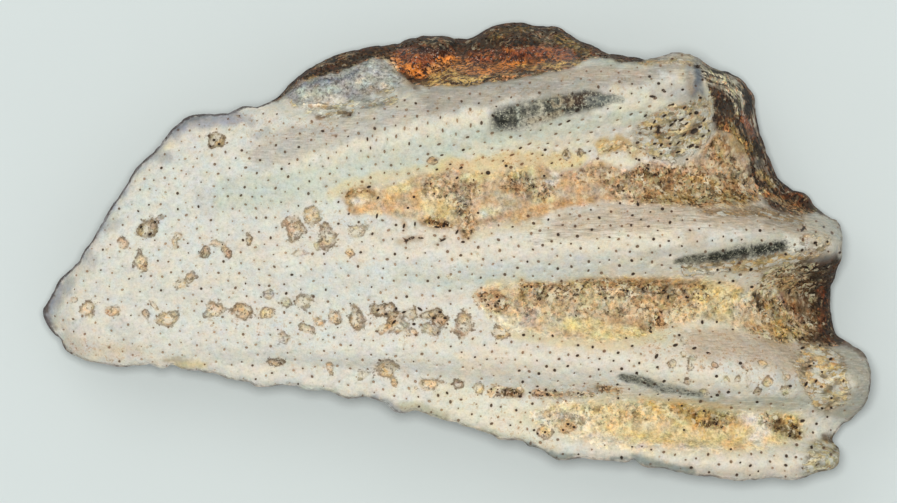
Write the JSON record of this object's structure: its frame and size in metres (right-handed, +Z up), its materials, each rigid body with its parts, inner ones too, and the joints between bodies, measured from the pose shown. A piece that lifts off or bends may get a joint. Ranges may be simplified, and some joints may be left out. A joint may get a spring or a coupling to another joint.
{
  "type": "fossil lungfish tooth plate",
  "caption": "Fossil lungfish tooth plate with blunt ridges fanning over a pitted white crown on worn bone, lying on the flat spot of its underside.",
  "frame": {"origin": "middle of the tooth in plan, on the surface that its flat spot rests on", "axes": "+X from the blunt tip to the ridge ends, +Z up out of the chewing side, +Y towards the side with the bare bone and the rust"},
  "size_m": [0.032, 0.0178, 0.0076],
  "materials": {
    "tooth_plate": "fossil dentine: matt to faintly waxy, white crown with fine dark pores, ochre matrix in the furrows, dark brown bone with rust"
  },
  "bodies": {
    "root": {"tooth_plate": "tooth_plate"}
  },
  "joints": []
}
